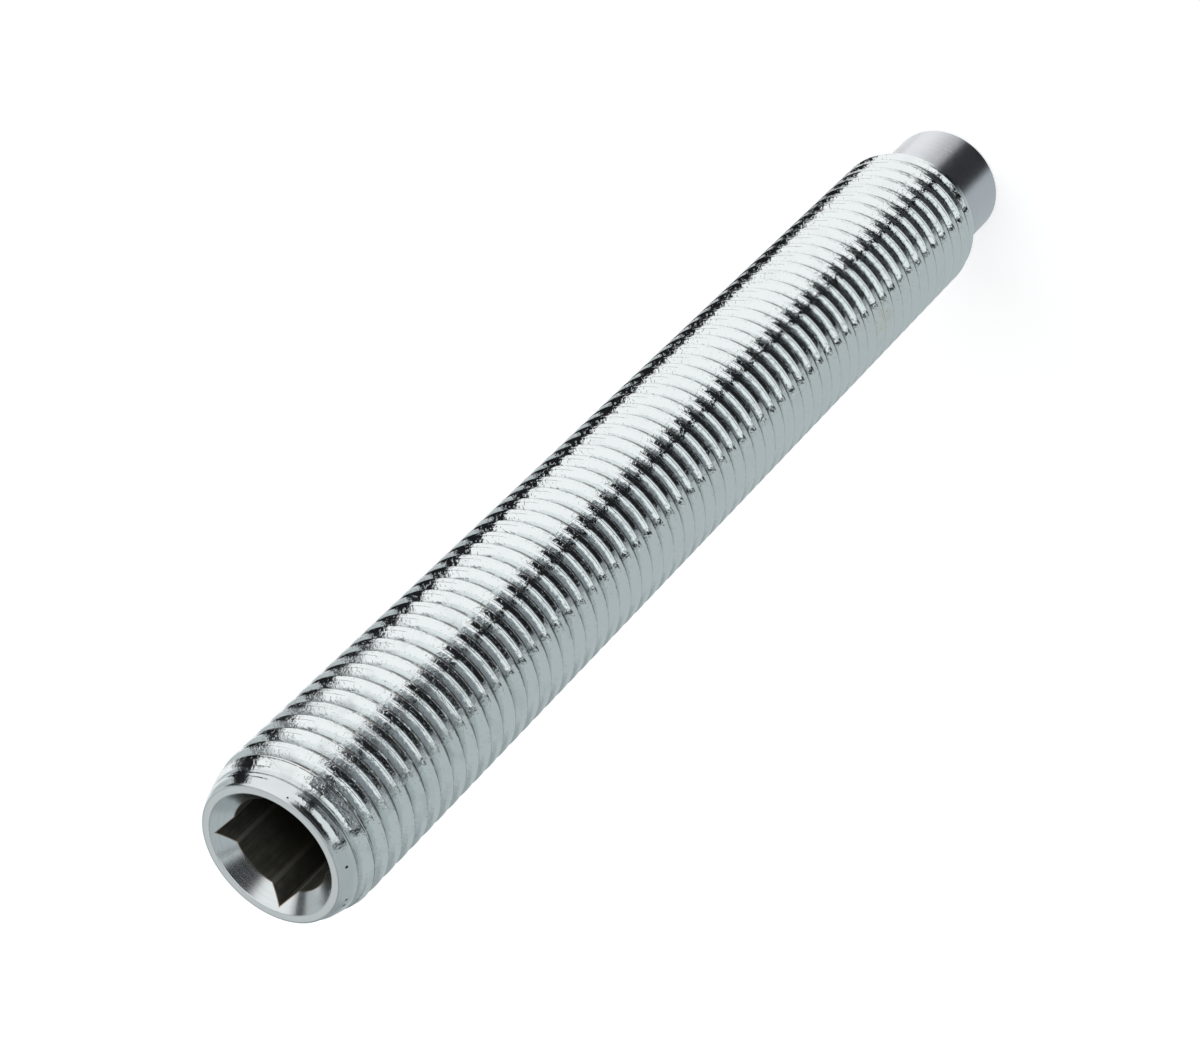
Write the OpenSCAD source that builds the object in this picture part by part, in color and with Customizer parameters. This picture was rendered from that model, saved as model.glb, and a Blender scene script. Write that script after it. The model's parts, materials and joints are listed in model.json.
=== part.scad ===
// Jack bolt: a long screw that is turned by a square key in its upper end
// and presses with a plain dog point at its lower end.
// One solid piece of steel. It stands on the dog point, with its axis on Z,
// the socket's flats facing X and Y, and the origin at the centre of the dog's
// end face. Millimetres.

/* [Bolt] */
// Overall length, dog's end face to socket face
bolt_len = 160; // [80:1:240]

/* [Thread] */
// Major (nominal) diameter of the thread
thread_d = 20; // [19.2:0.1:24]
// Pitch of the right-hand thread
thread_pitch = 2.5; // [1.5:0.25:3]
// Height of a crest above the dog's end, where the thread crosses the +X axis
thread_timing = 1.72; // [0:0.01:2.5]
// Straight segments in one turn of the thread
turn_segments = 24; // [12:4:24]

/* [Socket end] */
// Outer diameter of the flat rim round the socket
rim_d = 16.7; // [16:0.1:17.6]
// Diameter at which the end's steep chamfer meets the long lead taper
lead_d = 18; // [17.7:0.1:19]
// Angle of the steep chamfer, from the axis
chamfer_angle = 45; // [30:1:60]
// Angle of the lead taper that the first threads run out on, from the axis
lead_angle = 15; // [8:1:30]
// Diameter of the countersink's mouth in the rim
countersink_d = 15; // [14.4:0.1:15.8]
// Included angle of the countersink
countersink_angle = 90; // [60:1:120]

/* [Square socket] */
// Distance across the flats of the broached square
socket_af = 10.1; // [9.4:0.1:10.4]
// Depth of the broached square below the socket face
socket_depth = 14; // [8:0.5:30]
// Diameter of the hole drilled before the square is broached
pilot_d = 11.5; // [10.8:0.1:12.5]
// How far the drilled hole's straight wall runs on below the square
pilot_clearance = 2.5; // [0.5:0.5:6]
// Included angle of the drill point at the bottom of the hole
drill_angle = 118; // [90:1:140]

/* [Dog point] */
// Diameter of the plain dog point
dog_d = 15.6; // [12:0.1:16.5]
// Length of the dog point, end face to shoulder
dog_len = 10.5; // [4:0.5:20]
// Width of the 45 degree break on the dog's end edge
dog_break = 0.2; // [0.1:0.05:1]
// Outer diameter of the shoulder above the dog
shoulder_d = 18.6; // [17.4:0.1:19]
// Angle of the taper from the shoulder out to the full thread, from the axis
shoulder_angle = 22; // [10:1:45]

/* [Hidden] */

round_fn = 96;
// How far a cutter reaches past the face that it cuts
overshoot = 1;

// Metric 60 degree profile: flat crest, straight flanks, flat root
flank_angle = 30;
crest_flat = thread_pitch / 8;
thread_depth = 0.6134 * thread_pitch;
flank_run = thread_depth * tan(flank_angle);
thread_r = thread_d / 2;
root_r = thread_r - thread_depth;

// The helix starts a little over one turn below the shoulder and ends just
// above the socket face. Both ends are trimmed off afterwards.
turns_below = floor((dog_len - thread_timing) / thread_pitch - 1);
helix_z = thread_timing + turns_below * thread_pitch - crest_flat / 2;
helix_rise = bolt_len - helix_z + thread_pitch / 4;
helix_steps = ceil(helix_rise / thread_pitch * turn_segments);
step_rise = thread_pitch / turn_segments;

// Section through one pitch, upwards from the foot of a crest flat: [r, z]
pitch_profile = [
    [thread_r, 0],
    [thread_r, crest_flat],
    [root_r, crest_flat + flank_run],
    [root_r, thread_pitch - flank_run]
];
profile_n = len(pitch_profile);

// Heights of the turned forms
lead_z = bolt_len - (lead_d - rim_d) / 2 / tan(chamfer_angle);
cone_depth = (countersink_d - pilot_d) / 2 / tan(countersink_angle / 2);
cutter_r = thread_r + overshoot;

// Points of the helix: one profile for each step along it
function helix_point(step, k) =
    let (a = step * 360 / turn_segments, p = pitch_profile[k])
    [p[0] * cos(a), p[0] * sin(a), helix_z + step * step_rise + p[1]];

helix_points = [
    for (step = [0 : helix_steps + turn_segments], k = [0 : profile_n - 1])
        helix_point(step, k)
];

// Number of point k of a step. Past the last point of a profile comes the
// first one of the profile one turn further up.
function at(step, k) =
    k < profile_n ? step * profile_n + k : (step + turn_segments) * profile_n;

first_cap = len(helix_points);
last_cap = first_cap + 1;
cap_points = [
    [0, 0, helix_z - thread_pitch],
    [0, 0, helix_z + helix_steps * step_rise + 2 * thread_pitch]
];

// The thread's own surface, two triangles for each side of each step
helix_faces = [
    for (step = [0 : helix_steps - 1], k = [0 : profile_n - 1], half = [0, 1])
        half == 0
            ? [at(step, k), at(step, k + 1), at(step + 1, k + 1)]
            : [at(step, k), at(step + 1, k + 1), at(step + 1, k)]
];

// Cones that close the two ends of the helix, each with its straight step
lower_faces = concat(
    [for (step = [0 : turn_segments - 1])
        [first_cap, at(step, 0), at(step + 1, 0)]],
    [for (k = [0 : profile_n - 1]) [first_cap, at(0, k + 1), at(0, k)]]
);
upper_faces = concat(
    [for (step = [helix_steps : helix_steps + turn_segments - 1])
        [last_cap, at(step + 1, 0), at(step, 0)]],
    [for (k = [0 : profile_n - 1])
        [last_cap, at(helix_steps, k), at(helix_steps, k + 1)]]
);

// Threaded rod, a little longer at both ends than the thread needs
module threaded_rod() {
    polyhedron(
        points = concat(helix_points, cap_points),
        faces = concat(helix_faces, lower_faces, upper_faces),
        convexity = 10
    );
}

// Ring that turns the socket end: square face, steep chamfer, lead taper
module socket_end_cutter() {
    taper_z = lead_z - (cutter_r - lead_d / 2) / tan(lead_angle);
    top_z = bolt_len + 2 * thread_pitch + overshoot;
    rotate_extrude($fn = round_fn)
        polygon([
            [0, bolt_len],
            [rim_d / 2, bolt_len],
            [lead_d / 2, lead_z],
            [cutter_r, taper_z],
            [cutter_r + overshoot, taper_z],
            [cutter_r + overshoot, top_z],
            [0, top_z]
        ]);
}

// Ring that turns the other end down to the shoulder
module shoulder_cutter() {
    taper_z = dog_len + (cutter_r - shoulder_d / 2) / tan(shoulder_angle);
    bottom_z = helix_z - thread_pitch - overshoot;
    rotate_extrude($fn = round_fn)
        polygon([
            [0, bottom_z],
            [cutter_r + overshoot, bottom_z],
            [cutter_r + overshoot, taper_z],
            [cutter_r, taper_z],
            [shoulder_d / 2, dog_len],
            [0, dog_len]
        ]);
}

// Plain dog point, run up into the threaded shank so that they are one solid
module dog_point() {
    dog_r = dog_d / 2;
    rotate_extrude($fn = round_fn)
        polygon([
            [0, 0],
            [dog_r - dog_break, 0],
            [dog_r, dog_break],
            [dog_r, dog_len + thread_pitch],
            [0, dog_len + thread_pitch]
        ]);
}

// Countersink and drilled hole with its drill point, open at the top
module drilled_hole() {
    pilot_r = pilot_d / 2;
    wall_z = bolt_len - socket_depth - pilot_clearance;
    mouth_r = countersink_d / 2;
    rotate_extrude($fn = round_fn)
        polygon([
            [0, wall_z - pilot_r / tan(drill_angle / 2)],
            [pilot_r, wall_z],
            [pilot_r, bolt_len - cone_depth],
            [mouth_r, bolt_len],
            [mouth_r, bolt_len + overshoot],
            [0, bolt_len + overshoot]
        ]);
}

// Broached square, whose corners stand out beyond the drilled hole
module square_broach() {
    translate([-socket_af / 2, -socket_af / 2, bolt_len - socket_depth])
        cube([socket_af, socket_af, socket_depth + overshoot]);
}

module jack_bolt() {
    color("gainsboro")
        difference() {
            union() {
                difference() {
                    threaded_rod();
                    socket_end_cutter();
                    shoulder_cutter();
                }
                dog_point();
            }
            drilled_hole();
            square_broach();
        }
}

jack_bolt();
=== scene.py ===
"""Looks of the jack bolt: a fine mesh of the rolled thread, the turned dog point and the broached
socket, in place of the plain CAD solid, with plated and turned steel and a soft studio."""

import math

import bpy
import numpy as np
from mathutils import Matrix, Vector
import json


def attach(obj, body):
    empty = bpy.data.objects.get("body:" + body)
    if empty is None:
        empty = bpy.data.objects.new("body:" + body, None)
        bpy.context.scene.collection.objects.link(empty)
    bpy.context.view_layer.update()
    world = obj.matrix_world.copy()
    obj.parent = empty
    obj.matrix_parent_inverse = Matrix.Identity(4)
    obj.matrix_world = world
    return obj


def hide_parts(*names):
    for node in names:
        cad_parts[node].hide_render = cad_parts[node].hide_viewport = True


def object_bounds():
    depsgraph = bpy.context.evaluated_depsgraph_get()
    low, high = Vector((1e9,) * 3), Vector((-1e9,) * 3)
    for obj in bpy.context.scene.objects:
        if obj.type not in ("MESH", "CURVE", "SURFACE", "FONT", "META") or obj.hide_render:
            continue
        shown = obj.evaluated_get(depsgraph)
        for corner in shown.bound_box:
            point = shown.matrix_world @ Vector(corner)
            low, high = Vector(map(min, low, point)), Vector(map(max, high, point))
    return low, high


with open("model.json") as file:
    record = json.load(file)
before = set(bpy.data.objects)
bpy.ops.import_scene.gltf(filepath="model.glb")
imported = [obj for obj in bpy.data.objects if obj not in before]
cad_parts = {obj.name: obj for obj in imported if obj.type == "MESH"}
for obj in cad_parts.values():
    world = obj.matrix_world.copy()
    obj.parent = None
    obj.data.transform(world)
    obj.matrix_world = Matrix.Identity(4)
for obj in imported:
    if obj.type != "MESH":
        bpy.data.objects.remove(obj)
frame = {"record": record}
cad_low, cad_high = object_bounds()

MM = 0.001

# Sizes that the frame gives
bolt_len = cad_high.z
thread_r = cad_high.x
mounts = {m["name"]: m for m in frame["record"]["mounts"]}
dog_r = mounts["dog_point"]["dims"]["r_mm"] * MM

# Thread: 60 degree flanks between broad rolled crests and rounded roots
pitch = 2.5 * MM
crest_flat = 0.55 * MM
crest_round = 0.38 * MM
root_round = 0.24 * MM
flank_lean = math.radians(30)
crest_height_at_x = 2.0 * MM

# Dog end
dog_len = 10.5 * MM
dog_break = 0.2 * MM
shoulder_r = 9.3 * MM
shoulder_lean = math.radians(22)

# Socket end
rim_r = 8.35 * MM
land_r = 8.58 * MM
land_len = 0.48 * MM
land_break = 0.10 * MM
blank_r = 9.02 * MM
blank_end = 2.7 * MM
blank_fall = 1.4
lead_r = 9.0 * MM
chamfer_lean = math.radians(45)
lead_lean = math.radians(15)
edge_break = 0.08 * MM
mouth_r = 7.6 * MM
pilot_r = 5.75 * MM
half_af = 5.05 * MM
socket_depth = 14 * MM
pilot_clearance = 2.5 * MM
drill_half_angle = math.radians(59)

# Fineness of the mesh
columns = 96
crest_arc_steps = 3
root_arc_steps = 4
blend_width = 0.12 * MM
turned_blend = 0.25 * MM
slope_step = 0.002 * MM


# ---------------------------------------------------------------- shape of the bolt

def column_angles():
    """Even columns round the bolt, with the nearest ones moved onto the ends of the square's flats."""
    angles = np.arange(columns) * 2 * math.pi / columns
    meeting = math.acos(half_af / pilot_r)
    for side in range(4):
        for sign in (-1, 1):
            exact = (side * math.pi / 2 + sign * meeting) % (2 * math.pi)
            angles[np.argmin(np.abs(angles - exact))] = exact
    return angles


def flank_ends():
    """The flank's two ends, as height off the crest's middle and depth under it, and the root's depth."""
    lean = math.pi / 2 - flank_lean
    top = (crest_flat / 2 + crest_round * math.sin(lean), crest_round * (1 - math.cos(lean)))
    sharp_depth = top[1] + (pitch / 2 - top[0]) * math.tan(lean)
    root_depth = sharp_depth - root_round * (1 / math.cos(lean) - 1)
    foot = (pitch / 2 - root_round * math.sin(lean), root_depth - root_round * (1 - math.cos(lean)))
    return top, foot, root_depth


def crest_offsets():
    """Heights of the mesh rows within one pitch, from a crest's middle up to the next."""
    lean = math.pi / 2 - flank_lean
    crest_turns = np.linspace(0, lean, crest_arc_steps + 1)
    root_turns = np.linspace(lean, -lean, root_arc_steps + 1)
    crest = [crest_flat / 2 + crest_round * math.sin(turn) for turn in crest_turns]
    root = [pitch / 2 - root_round * math.sin(turn) for turn in root_turns]
    return crest + root + [pitch - z for z in reversed(crest)]


def thread_radius(height):
    """Radius of the thread at a height off the middle of a crest, repeated each pitch."""
    off = np.abs((height + pitch / 2) % pitch - pitch / 2)
    (top, top_depth), (foot, _), root_depth = flank_ends()
    past_flat = np.clip(off - crest_flat / 2, 0, crest_round)
    on_crest = crest_round - np.sqrt(crest_round ** 2 - past_flat ** 2)
    on_flank = top_depth + (off - top) / math.tan(flank_lean)
    off_root = np.clip(pitch / 2 - off, 0, root_round)
    in_root = root_depth - root_round + np.sqrt(root_round ** 2 - off_root ** 2)
    depth = np.where(off < top, on_crest, np.where(off < foot, on_flank, in_root))
    return thread_r - depth


def soft_min(a, b, width):
    """The smaller of two radii, with the corner between them rounded."""
    h = np.clip(0.5 + 0.5 * (b - a) / width, 0, 1)
    return b * (1 - h) + a * h - width * h * (1 - h)


def turned_radius(z):
    """Radius of the turned blank in the threaded length: shoulder taper, lead taper and end chamfer."""
    shoulder = shoulder_r + (z - dog_len) * math.tan(shoulder_lean)
    chamfer = land_r + (bolt_len - land_len - z) * math.tan(chamfer_lean)
    lead_z = bolt_len - land_len - (lead_r - land_r) / math.tan(chamfer_lean)
    lead = lead_r + (lead_z - z) * math.tan(lead_lean)
    return soft_min(np.minimum(shoulder, lead), chamfer, turned_blend)


def blank_radius(z):
    """Radius under which the first grooves are not yet rolled in, next to the socket end."""
    return blank_r - np.maximum(bolt_len - blank_end - z, 0) * blank_fall


def hole_radius(angles):
    """Radius of the drilled hole, or of the broached square where its corners reach further."""
    off_flat = (angles + math.pi / 4) % (math.pi / 2) - math.pi / 4
    return np.maximum(pilot_r, half_af / np.cos(off_flat))


def ring(radius, z):
    """One row of points round the bolt, at a radius and height that may vary with the column."""
    return np.stack([np.broadcast_to(radius, columns), np.broadcast_to(z, columns)], axis=1)


def dog_rows():
    """Rows from the middle of the dog's end face up to the shoulder."""
    rows = [ring(dog_r * share, 0.0) for share in (0.0, 0.35, 0.7, 0.93)]
    for turn in np.linspace(0, math.pi / 2, 4):
        rows.append(ring(dog_r - dog_break * (1 - math.sin(turn)), dog_break * (1 - math.cos(turn))))
    for z in np.linspace(2 * dog_break, dog_len - 2 * dog_break, 12):
        rows.append(ring(dog_r, z))
    for turn in np.linspace(0, math.pi / 2, 4):
        flare = dog_break * (1 - math.cos(turn))
        rows.append(ring(dog_r + flare, dog_len - dog_break * (1 - math.sin(turn))))
    return rows


def thread_rows(angles):
    """Rows that climb with the helix, from the shoulder to the chamfered end, with the surface's normals.
    Past each end they stay on its edge."""
    offsets = crest_offsets()
    climb = angles * pitch / (2 * math.pi)
    first = math.floor((dog_len - crest_height_at_x) / pitch) - 1
    turns = math.ceil((bolt_len - crest_height_at_x) / pitch) - first
    top = bolt_len - land_len

    def radius(z, climb):
        rolled = -soft_min(-thread_radius(z - climb - crest_height_at_x), -blank_radius(z), turned_blend)
        return soft_min(rolled, turned_radius(z), blend_width)

    rows, normals = [], []
    for height in [(first + turn) * pitch + z for turn in range(turns + 1) for z in offsets]:
        z = np.clip(crest_height_at_x + height + climb, dog_len, top)
        rows.append(ring(radius(z, climb), z))
        rise = (radius(z + slope_step, climb) - radius(z - slope_step, climb)) / (2 * slope_step)
        twist = (radius(z, climb + slope_step) - radius(z, climb - slope_step)) / (2 * slope_step)
        twist = twist * pitch / (2 * math.pi) / rows[-1][:, 0]
        outward = np.stack([np.cos(angles), np.sin(angles), -rise], axis=1)
        around = np.stack([-np.sin(angles), np.cos(angles), 0 * angles], axis=1)
        normal = outward - around * twist[:, None]
        normals.append(normal / np.linalg.norm(normal, axis=1, keepdims=True))
    return rows, normals, len(offsets)


def socket_rows(angles):
    """Rows from the rim's outer edge over the countersink and down the socket to the drill point, and how
    many of them come before the socket."""
    hole = hole_radius(angles)
    rows = []
    for z in (land_len, land_break + 0.02 * MM):
        rows.append(ring(land_r, bolt_len - z))
    for turn in np.linspace(0, math.pi / 2, 5):
        drop, back = land_break * (1 - math.sin(turn)), (land_r - rim_r) * (1 - math.cos(turn))
        rows.append(ring(land_r - back, bolt_len - drop))
    for share in (0.12, 0.5, 0.88):
        rows.append(ring(rim_r + (mouth_r - rim_r) * share, bolt_len))
    for drop in (-0.5, 0.5):
        rows.append(ring(mouth_r - edge_break * drop, bolt_len - edge_break * max(drop, 0)))
    for share in (0.06, 0.3, 0.55, 0.8, 0.97):
        r = mouth_r + (hole - mouth_r) * share
        rows.append(ring(r, bolt_len - (mouth_r - r)))
    before_socket = len(rows)
    mouth_z = bolt_len - (mouth_r - hole)
    floor_z = bolt_len - socket_depth
    for share in (0.0, 0.02, 0.25, 0.5, 0.75, 1.0):
        rows.append(ring(hole, mouth_z + (floor_z - mouth_z) * share))
    rows.append(ring(pilot_r, floor_z))
    wall_z = floor_z - pilot_clearance
    rows.append(ring(pilot_r, wall_z))
    for share in (0.5, 0.0):
        point_depth = pilot_r * (1 - share) / math.tan(drill_half_angle)
        rows.append(ring(pilot_r * share, wall_z - point_depth))
    return rows, before_socket


def bolt_mesh():
    """The whole bolt as one closed mesh. Its faces' materials are 0 on the plated thread, 1 on turned steel
    and 2 inside the socket."""
    angles = column_angles()
    lower = dog_rows()
    thread, normals, per_turn = thread_rows(angles)
    upper, before_socket = socket_rows(angles)
    rows = np.array(lower + thread + upper)
    first_thread, last_thread = len(lower), len(lower) + len(thread) - 1
    countersink_end = len(lower) + len(thread) + before_socket - 1
    radii, heights = rows[..., 0], rows[..., 1]
    points = np.stack([radii * np.cos(angles), radii * np.sin(angles), heights], axis=-1).reshape(-1, 3)
    places = np.round(points / (1e-4 * MM)).astype(np.int64)
    _, keep, number = np.unique(places, axis=0, return_index=True, return_inverse=True)
    number = number.reshape(-1)

    def corner(row, column):
        if column == columns:
            column = 0
            if first_thread <= row <= last_thread:
                row = min(row + per_turn, last_thread)
        return row, column

    faces, zones, bends = [], [], []
    for row in range(len(rows) - 1):
        zone = 1 if row < first_thread or row >= last_thread else 0
        if row >= countersink_end:
            zone = 2
        for column in range(columns):
            near_side = [corner(row, column), corner(row, column + 1)]
            loop = near_side + [corner(row + 1, column + 1), corner(row + 1, column)]
            names = [number[r * columns + c] for r, c in loop]
            real = [i for i in range(4) if names[i] != names[i - 1]]
            if len(real) < 3:
                continue
            faces.append([names[i] for i in real])
            zones.append(zone)
            for r, c in (loop[i] for i in real):
                bends.append(normals[r - first_thread][c] if zone == 0 else (0, 0, 0))
    mesh = bpy.data.meshes.new("jack_bolt_dressed")
    mesh.from_pydata(points[keep].tolist(), [], faces)
    mesh.polygons.foreach_set("material_index", zones)
    mesh.update()
    mesh.polygons.foreach_set("use_smooth", [True] * len(mesh.polygons))
    mesh.set_sharp_from_angle(angle=math.radians(40))
    mesh.normals_split_custom_set(bends)
    return mesh


bolt = bpy.data.objects.new("jack_bolt_dressed", bolt_mesh())
bpy.context.scene.collection.objects.link(bolt)
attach(bolt, "root")
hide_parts("jack_bolt")


# ---------------------------------------------------------------- node helpers

class Graph:
    """A node tree that is filled by calls: each call adds one node and gives back its output socket."""

    def __init__(self, tree):
        self.tree = tree

    def put(self, socket, value):
        """Sets a socket to a plain value, or links it where the value is another node's output."""
        if isinstance(value, bpy.types.NodeSocket):
            self.tree.links.new(value, socket)
        else:
            socket.default_value = value

    def node(self, kind, output=0, values=(), **settings):
        node = self.tree.nodes.new(kind)
        for name, setting in settings.items():
            setattr(node, name, setting)
        for name, value in dict(values).items():
            self.put(node.inputs[name], value)
        return node.outputs[output]

    def math(self, operation, *values):
        return self.node("ShaderNodeMath", values=enumerate(values), operation=operation)

    def split(self, vector):
        """The vector's x, y and z."""
        return self.node("ShaderNodeSeparateXYZ", values={0: vector}).node.outputs

    def plus(self, base, value, amount):
        """The base with an amount of the value added to it."""
        return self.math("ADD", base, self.math("MULTIPLY", value, amount))

    def step(self, value, start, end):
        """0 up to start, 1 from end on, and smooth between them. It falls where end is the smaller one."""
        sockets = {"Value": value, "From Min": start, "From Max": end}
        return self.node("ShaderNodeMapRange", values=sockets, interpolation_type="SMOOTHSTEP")

    def both(self, *masks):
        product = masks[0]
        for mask in masks[1:]:
            product = self.math("MULTIPLY", product, mask)
        return product

    def mix(self, factor, a, b):
        """Colour b over colour a."""
        sockets = {0: factor, 6: a, 7: b}
        return self.node("ShaderNodeMix", output=2, values=sockets, data_type="RGBA")

    def tint(self, colour, mask, share, other):
        """The colour, with a share of the other one where the mask is 1."""
        return self.mix(self.math("MULTIPLY", mask, share), colour, other)


# ---------------------------------------------------------------- materials

def new_material(name, metallic=1.0, anisotropic=0.0):
    """A material with its shader, and a graph to fill with nodes."""
    material = bpy.data.materials.new(name)
    material.use_nodes = True
    shader = material.node_tree.nodes["Principled BSDF"]
    shader.inputs["Metallic"].default_value = metallic
    shader.inputs["Anisotropic"].default_value = anisotropic
    return material, shader, Graph(material.node_tree)


def places(g):
    """Place on the bolt in millimetres: the point itself, its distance from the axis and its height."""
    metres = g.node("ShaderNodeTexCoord", output="Object")
    point = g.node("ShaderNodeVectorMath", values={0: metres, "Scale": 1 / MM}, operation="SCALE")
    x, y, z = g.split(point)
    radius = g.math("SQRT", g.math("ADD", g.math("MULTIPLY", x, x), g.math("MULTIPLY", y, y)))
    return point, radius, z


def noise(g, point, scale, detail=2.0, spread=0.5):
    """Noise from 0 to 1, with its scale in grains a millimetre."""
    sockets = {"Vector": point, "Scale": scale, "Detail": detail, "Roughness": spread}
    return g.node("ShaderNodeTexNoise", values=sockets)


def stretched(g, point, across, along):
    """The point scaled across the axis and along it, so that a noise's grains are drawn out one way."""
    scales = (across, across, along)
    return g.node("ShaderNodeVectorMath", values={0: point, 1: scales}, operation="MULTIPLY")


def bump(g, shader, height):
    """Tilts the surface by a height in millimetres."""
    g.put(shader.inputs["Normal"], g.node("ShaderNodeBump", values={"Distance": MM, "Height": height}))


def near(g, point, turn, height, depth_r, size, soft=0.6):
    """A round spot on the surface at a turn about the axis, in degrees, and a height in millimetres."""
    angle = math.radians(turn)
    centre = (depth_r * math.cos(angle), depth_r * math.sin(angle), height)
    sockets = {0: point, 1: centre}
    gap = g.node("ShaderNodeVectorMath", output="Value", values=sockets, operation="DISTANCE")
    return g.step(gap, size, size * soft)


def crest_phase(g, point, height):
    """Place within the pitch, as a share of it: 0 on the middle of a crest, less towards the dog."""
    x, y, _ = g.split(point)
    share = g.math("MULTIPLY", g.math("ARCTAN2", y, x), 1 / (2 * math.pi))
    turns = g.math("SUBTRACT", g.math("MULTIPLY", height, MM / pitch), crest_height_at_x / pitch)
    return g.math("WRAP", g.math("SUBTRACT", turns, share), 0.5, -0.5)


def past_flats(g, point):
    """How far a point lies outside the square of the socket, in millimetres, and less than 0 inside it."""
    x, y, _ = g.split(point)
    reach = g.math("MAXIMUM", g.math("ABSOLUTE", x), g.math("ABSOLUTE", y))
    return g.math("SUBTRACT", reach, half_af / MM)


def past_pilot(g, radius):
    """How far a radius reaches past the drilled hole's wall, in millimetres."""
    return g.math("SUBTRACT", radius, pilot_r / MM)


zinc_colour = (0.865, 0.900, 0.905, 1)
zinc_grey = (0.52, 0.55, 0.57, 1)
pit_colour = (0.06, 0.055, 0.05, 1)
root_shade_colour = (0.075, 0.062, 0.045, 1)
crest_shade_colour = (0.11, 0.095, 0.07, 1)
stain_colour = (0.80, 0.78, 0.62, 1)

# Heights on the bolt in mm: the plating coarsens from the first to the second, and fades to smooth just
# past the third
coarse_from = 105.0
coarse_to = 152.0
smooth_lead = 157.2

# The roots turn rougher, and their colour is painted darker as shade, between these radii, in mm
dull_shade_from_r = 9.42
dull_shade_to_r = 9.10

# Depth of the plating's relief in mm
grain_depth = 0.006
coarse_grain_depth = 0.016
root_grain_depth = 0.010
blister_depth = 0.009
coarse_blister_depth = 0.005
peel_depth = 0.014
streak_depth = 0.004

# Painted shade lines run along each crest's far edge, between these shares of the pitch off its middle
crest_shade_start = -0.19
crest_shade_end = -0.12
crest_shade_soft = 0.02

# Painted shade fills the roots up to this radius in mm, less by the fall for each mm of height, and ends by
# the lead
root_shade_r = 9.33
root_shade_fall = 0.0015
root_shade_end = 156.6

# Dark pits in the plating by the socket end: turn in degrees, height and radius on the bolt, size, in mm
pits = [
    (232, 159.0, 8.98, 0.22),
    (202, 158.9, 9.05, 0.20),
    (195, 158.8, 9.08, 0.24),
    (296, 159.5, 8.62, 0.16),
]


def zinc_relief(g, point, height, grain, peel, coarse, deep):
    """Grain, blisters, orange peel and the rolls' streaks as one height in millimetres."""
    grain_height = g.plus(g.plus(grain_depth, coarse, coarse_grain_depth), deep, root_grain_depth)
    off_lead = g.step(height, smooth_lead + 0.7, smooth_lead)
    blister_height = g.math("MULTIPLY", g.plus(blister_depth, coarse, coarse_blister_depth), off_lead)
    blisters = g.step(noise(g, point, 2.6, 1.0), 0.56, 0.70)
    streaks = noise(g, stretched(g, point, 0.25, 3.0), 1.0, 2.0)
    relief = g.plus(g.math("MULTIPLY", grain, grain_height), blisters, blister_height)
    return g.plus(g.plus(relief, peel, peel_depth), streaks, streak_depth)


def zinc_spots(g, point, radius, phase):
    """Dark specks along the crests' edges, and the pits by the socket end."""
    edge = g.both(g.step(radius, 9.72, 9.84), g.step(phase, 0.10, 0.02))
    spots = g.both(edge, g.step(noise(g, point, 6.0, 3.0, 0.7), 0.60, 0.68))
    for turn, at_height, at_radius, size in pits:
        spots = g.math("MAXIMUM", spots, near(g, point, turn, at_height, at_radius, size))
    return spots


def crest_edge_shade(g, point, radius, phase):
    """Painted shade lines along the crests' far edges, broken up by a noise."""
    start = g.step(phase, crest_shade_start, crest_shade_start + crest_shade_soft)
    end = g.step(phase, crest_shade_end, crest_shade_end - crest_shade_soft)
    broken = g.step(noise(g, point, 1.6, 4.0, 0.7), 0.38, 0.48)
    return g.both(start, end, broken, g.step(radius, 9.5, 9.6))


def painted_root_shade(g, point, radius, height):
    """Patchy lines of painted shade in the roots."""
    top = g.math("SUBTRACT", root_shade_r, g.math("MULTIPLY", height, root_shade_fall))
    low = g.step(g.math("SUBTRACT", radius, top), 0.0, -0.05)
    off_lead = g.step(height, root_shade_end, root_shade_end - 0.4)
    return g.both(low, off_lead, g.step(noise(g, point, 0.9, 4.0, 0.65), 0.36, 0.50))


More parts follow.
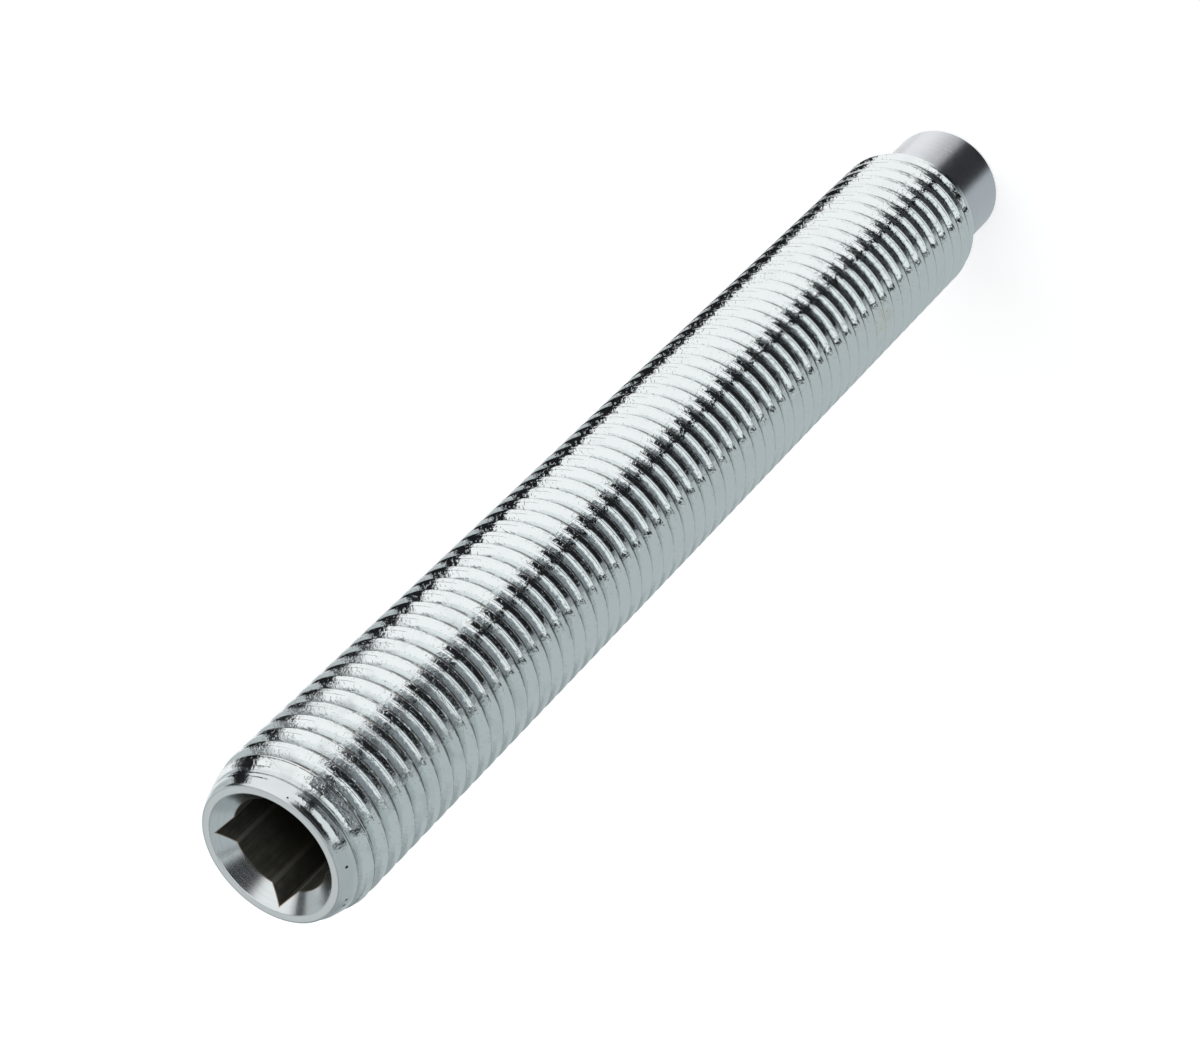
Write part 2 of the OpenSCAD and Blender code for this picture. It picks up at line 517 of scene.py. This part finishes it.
def zinc_plate():
    """Bright zinc plating: fine grain and orange peel, coarser towards the socket end, rougher and with
    painted shade in the roots, with painted shade lines along the crests' far edges, specks, pits and one
    pale stain."""
    material, shader, g = new_material("zinc_plate")
    point, radius, height = places(g)
    phase = crest_phase(g, point, height)
    grain = noise(g, point, 3.4, 2.0, 0.6)
    peel = noise(g, point, 1.3, 2.0)
    patches = noise(g, point, 0.35, 2.0)

    off_lead = g.step(height, smooth_lead + 1.2, smooth_lead)
    coarse_end = g.both(g.step(height, coarse_from, coarse_to), off_lead)
    coarse = g.both(coarse_end, g.plus(0.35, g.step(patches, 0.40, 0.60), 0.65))
    deep = g.step(radius, dull_shade_from_r, dull_shade_to_r)
    bump(g, shader, zinc_relief(g, point, height, grain, peel, coarse, deep))

    clouded = g.both(g.step(patches, 0.5, 0.75), g.plus(0.2, coarse_end, 0.5))
    stain = g.both(near(g, point, 232, 38.6, 9.9, 3.4, 0.3), g.step(peel, 0.40, 0.65))
    spots = zinc_spots(g, point, radius, phase)
    colour = g.tint(zinc_colour, clouded, 0.5, zinc_grey)
    # Painted shade: the roots are tinted grey, more deeply in the groove
    colour = g.tint(colour, deep, 0.35, zinc_grey)
    colour = g.tint(colour, stain, 0.6, stain_colour)
    # Painted shade: thin dark lines along the crests' far edges, where they turn out of sight
    colour = g.tint(colour, crest_edge_shade(g, point, radius, phase), 0.8, crest_shade_colour)
    # Painted shade: dark patchy lines in the thread's roots, where the next crest hides the groove
    colour = g.tint(colour, painted_root_shade(g, point, radius, height), 0.85, root_shade_colour)
    g.put(shader.inputs["Base Color"], g.mix(spots, colour, pit_colour))

    roughness = g.plus(0.01, grain, 0.03)
    roughness = g.plus(roughness, deep, 0.08)
    roughness = g.plus(roughness, coarse, 0.17)
    g.put(shader.inputs["Roughness"], g.plus(roughness, spots, 0.4))
    return material


steel_colour = (0.775, 0.785, 0.820, 1)
face_colour = (0.780, 0.810, 0.815, 1)
steel_dull = (0.66, 0.68, 0.71, 1)
burr_colour = (0.30, 0.17, 0.07, 1)


def turned_steel():
    """Bare steel off the lathe: fine tool marks that run round the axis, a few broader ones, and a brown
    burr where the broach broke through the countersink."""
    material, shader, g = new_material("turned_steel", anisotropic=0.55)
    point, radius, height = places(g)
    profile = g.node("ShaderNodeCombineXYZ", values={0: radius, 2: height})
    fine = noise(g, profile, 9.0, 3.0, 0.7)
    broad = noise(g, profile, 2.2, 2.0)
    haze = noise(g, stretched(g, point, 0.4, 2.0), 1.0, 3.0)
    grain = noise(g, point, 5.0, 2.0)
    relief = g.plus(g.math("MULTIPLY", fine, 0.0030), broad, 0.004)
    bump(g, shader, g.plus(relief, grain, 0.0012))

    off_hole = g.math("MINIMUM", past_flats(g, point), past_pilot(g, radius))
    burr = g.both(g.step(off_hole, 0.14, 0.05), g.step(height, 150.0, 151.0))
    colour = g.mix(g.step(height, 20.0, 150.0), steel_colour, face_colour)
    colour = g.tint(colour, g.step(fine, 0.35, 0.7), 0.35, steel_dull)
    colour = g.tint(colour, g.step(haze, 0.45, 0.75), 0.25, steel_dull)
    g.put(shader.inputs["Base Color"], g.tint(colour, burr, 0.85, burr_colour))
    g.put(shader.inputs["Roughness"], g.plus(0.13, fine, 0.12))
    g.put(shader.inputs["Tangent"], g.node("ShaderNodeTangent", direction_type="RADIAL", axis="Z"))
    return material


socket_shade_black = (0.030, 0.027, 0.018, 1)
mouth_light_black = (0.105, 0.102, 0.088, 1)
lighter_edge_colour = (0.20, 0.19, 0.16, 1)


def socket_inside():
    """Inside of the broached socket, painted near black as shade, with painted light in streaky patches
    near its mouth, and lighter along the edges where the square meets the drilled hole."""
    material, shader, g = new_material("socket_inside", metallic=0.0)
    point, radius, height = places(g)
    scrapes = noise(g, stretched(g, point, 3.0, 0.25), 1.0, 2.0, 0.5)
    grime = noise(g, point, 0.8, 3.0)
    by_mouth = g.step(height, 149.5, 157.0)
    patchy = g.both(g.step(scrapes, 0.30, 0.70), g.step(grime, 0.3, 0.6))
    streaky_mouth_light = g.both(g.plus(0.35, patchy, 0.65), by_mouth)

    off_flat = g.math("ABSOLUTE", past_flats(g, point))
    off_pilot = g.math("ABSOLUTE", past_pilot(g, radius))
    edge = g.both(g.step(off_flat, 0.14, 0.05), g.step(off_pilot, 0.22, 0.08))
    lighter_edges = g.both(edge, g.math("MULTIPLY", by_mouth, 0.7))
    # Painted shade: near black deep in the socket, with painted light towards its mouth and lighter edges
    colour = g.mix(lighter_edges, g.mix(streaky_mouth_light, socket_shade_black, mouth_light_black), lighter_edge_colour)
    g.put(shader.inputs["Base Color"], colour)
    g.put(shader.inputs["Roughness"], g.plus(0.40, grime, 0.2))
    bump(g, shader, g.math("MULTIPLY", scrapes, 0.007))
    return material


for material in (zinc_plate(), turned_steel(), socket_inside()):
    bolt.data.materials.append(material)


# ---------------------------------------------------------------- camera

# Where the camera stands from the bolt: its side of the bolt, the angle between the bolt's axis and the
# line of sight, how far the axis is rolled off the picture's diagonal, and how far ahead of the camera
# and to the lower left of the picture's middle the socket's face lies
camera_turn = math.radians(6.8)
axis_angle = math.radians(45.37)
axis_roll = math.radians(-0.07)
socket_ahead = 338.8 * MM
socket_aside = -47.67 * MM
focal_length = 99.4
sensor_width = 36.0


def add_camera():
    """Camera above the socket end, rolled so that the bolt runs from the lower left up to the right."""
    away = Vector((0, 0, -1))
    facing = Vector((math.sin(camera_turn), -math.cos(camera_turn), 0))
    forward = away * math.cos(axis_angle) - facing * math.sin(axis_angle)
    along = away * math.sin(axis_angle) + facing * math.cos(axis_angle)
    across = forward.cross(along)
    diagonal = math.pi / 4 + axis_roll
    right = along * math.cos(diagonal) + across * math.sin(diagonal)
    up = along * math.sin(diagonal) - across * math.cos(diagonal)
    camera = bpy.data.objects.new("camera", bpy.data.cameras.new("camera"))
    camera.data.lens = focal_length
    camera.data.sensor_width = sensor_width
    camera.data.clip_start = 10 * MM
    socket_face = Vector((0, 0, bolt_len))
    place = socket_face - forward * socket_ahead - along * socket_aside
    turn = Matrix((right, up, -forward)).transposed().to_4x4()
    camera.matrix_world = Matrix.Translation(place) @ turn
    bpy.context.scene.collection.objects.link(camera)
    bpy.context.scene.camera = camera


add_camera()


# ---------------------------------------------------------------- stage

# The studio as the bolt mirrors it, by direction in degrees: the turn from the bolt's front (-Y) towards
# +X, and the height over the horizon. Light sides are cards and softboxes, dark ones are gaps between them.
full_white = (1.0, 1.0, 1.0, 1)
softbox_white = (0.97, 0.98, 0.98, 1)
top_white = (0.84, 0.89, 0.90, 1)
grey_card = (0.459, 0.507, 0.517, 1)
far_wall = (0.50, 0.54, 0.55, 1)
low_wall = (0.33, 0.37, 0.38, 1)
back_light = (0.66, 0.68, 0.68, 1)
dim_table = (0.27, 0.29, 0.31, 1)
black_gap = (0.012, 0.013, 0.014, 1)
dim_gap = (0.035, 0.037, 0.040, 1)

# An area that reaches the zenith, the ground under the bolt or the back of the room ends past it
zenith = 100
ground = -100
behind = -200

# Seen from the camera, the dog mirrors what lies just under this height, and the thread what lies over it
dog_horizon = -52.0

# An upright edge that isn't straight swings out with the square of its way past its start, in these units
swing_unit = 30
most_sunk = 1.4


class Studio:
    """The studio's colour in each direction, painted one area over the other."""

    def __init__(self, g, colour):
        x, y, z = g.split(g.node("ShaderNodeTexCoord"))
        self.g = g
        self.turn = g.math("DEGREES", g.math("ARCTAN2", x, g.math("MULTIPLY", y, -1.0)))
        self.height = g.math("DEGREES", g.math("ARCSINE", z))
        self.colour = colour

    def paint(self, colour, *masks):
        self.colour = self.g.mix(self.g.both(*masks), self.colour, colour)

    def between(self, left, right, soft):
        """From one upright edge to the next. An edge is a turn in degrees or a swung edge's socket."""
        inside = self.g.step(self.g.math("SUBTRACT", self.turn, left), -soft, soft)
        outside = self.g.step(self.g.math("SUBTRACT", self.turn, right), soft, -soft)
        return self.g.both(inside, outside)

    def level(self, low, high, soft):
        above = self.g.step(self.height, low - soft, low + soft)
        return self.g.both(above, self.g.step(self.height, high + soft, high - soft))

    def bent(self, edge, swing, start):
        """The turn of an upright edge that swings out over its start."""
        past = self.g.math("MULTIPLY", self.g.math("SUBTRACT", self.height, start), 1 / swing_unit)
        past = self.g.math("MAXIMUM", past, 0.0)
        return self.swung(edge, swing, past)

    def sunk(self, edge, swing, start):
        """The same for an edge that swings out under its start, and then runs on upright."""
        past = self.g.math("MULTIPLY", self.g.math("SUBTRACT", start, self.height), 1 / swing_unit)
        past = self.g.math("MINIMUM", self.g.math("MAXIMUM", past, 0.0), most_sunk)
        return self.swung(edge, swing, past)

    def swung(self, edge, swing, past):
        out = self.g.math("MULTIPLY", self.g.math("MULTIPLY", past, past), swing)
        return self.g.math("ADD", out, edge)


def paint_walls(studio):
    """The dimmer walls beside and behind the bolt, and a lamp high behind it."""
    studio.paint(far_wall, studio.between(124, 200, 6), studio.level(-8, zenith, 8))
    studio.paint(grey_card, studio.between(behind, -30, 4))
    studio.paint(low_wall, studio.between(behind, -122, 6), studio.level(-24, zenith, 10))
    studio.paint(back_light, studio.between(-210, -166, 3), studio.level(28, 60, 4))


def paint_front(studio):
    """The white card and the table in front of the bolt, with the gaps over, under and beside them."""
    card_edge = studio.bent(-46.5, -20.0, 22.0)
    line_edge = studio.bent(-39.5, -19.0, 22.0)
    studio.paint(top_white, studio.between(card_edge, 15, 2), studio.level(-2, zenith, 3))
    studio.paint(black_gap, studio.between(-42, 34, 11), studio.level(40, 59, 3))
    studio.paint(black_gap, studio.between(card_edge, line_edge, 1.5), studio.level(-20, zenith, 4))
    studio.paint(dim_table, studio.between(-40, 34, 3), studio.level(ground, -2, 3))
    studio.paint(black_gap, studio.between(-36, 34, 3), studio.level(-7.5, 1, 1.5))
    studio.paint(black_gap, studio.between(77, 97, 2), studio.level(-9, -0.5, 1.5))
    studio.paint(black_gap, studio.between(9.5, 19, 2), studio.level(-34, zenith, 4))


def paint_ground(studio):
    """The dark under the bolt: what the dog mirrors, what the thread mirrors, and straight down."""
    g = studio.g
    fading = g.both(g.step(studio.turn, -46, -30), g.step(studio.turn, 108, 18))
    studio.paint(dim_gap, fading, studio.level(ground, dog_horizon - 0.3, 0.3))
    left = studio.sunk(-30.0, -16.0, -45.0)
    right = studio.sunk(36.5, 16.0, -45.0)
    over_dog = g.step(studio.height, dog_horizon - 0.2, dog_horizon + 0.2)
    studio.paint(black_gap, studio.between(left, right, 2), g.step(studio.height, -29, -37), over_dog)
    studio.paint(black_gap, studio.level(ground, -78, 4))


def paint_dark_strip(studio):
    """The dark strip on the bolt's right, which makes the dark teeth along the thread's edge."""
    left = studio.sunk(studio.bent(99.0, 11.0, 5.0), 13.0, 0.0)
    right = studio.sunk(studio.bent(122.0, 8.0, 5.0), 23.0, 0.0)
    studio.paint(black_gap, studio.between(left, right, 2), studio.level(dog_horizon + 0.3, 46, 0.8))
    studio.paint(black_gap, studio.between(127, 190, 3), studio.level(dog_horizon + 0.3, -45.5, 0.6))


def add_world():
    """The studio for the bolt to mirror, and plain white for the camera."""
    world = bpy.data.worlds.new("studio")
    world.use_nodes = True
    bpy.context.scene.world = world
    g = Graph(world.node_tree)
    studio = Studio(g, softbox_white)
    paint_walls(studio)
    paint_front(studio)
    paint_ground(studio)
    paint_dark_strip(studio)
    background = world.node_tree.nodes["Background"]
    camera_ray = g.node("ShaderNodeLightPath", output="Is Camera Ray")
    g.put(background.inputs["Color"], g.mix(camera_ray, studio.colour, full_white))


floor_size = 4
floor_glow = 0.55


def add_floor():
    """A white floor that keeps the bolt's shadow. The bolt mirrors the studio and not the floor."""
    bpy.ops.mesh.primitive_plane_add(size=floor_size, location=(0, 0, 0))
    floor = bpy.context.object
    floor.name = "floor"
    material = bpy.data.materials.new("floor")
    material.use_nodes = True
    shader = material.node_tree.nodes["Principled BSDF"]
    shader.inputs["Base Color"].default_value = (0.9, 0.9, 0.9, 1)
    shader.inputs["Roughness"].default_value = 1
    shader.inputs["Emission Color"].default_value = (1.0, 0.975, 0.97, 1)
    g = Graph(material.node_tree)
    seen = g.node("ShaderNodeLightPath", output="Is Camera Ray")
    g.put(shader.inputs["Emission Strength"], g.math("MULTIPLY", seen, floor_glow))
    floor.data.materials.append(material)
    floor.visible_glossy = False


add_floor()
add_world()

scene = bpy.context.scene
scene.view_settings.view_transform = "Standard"

import json
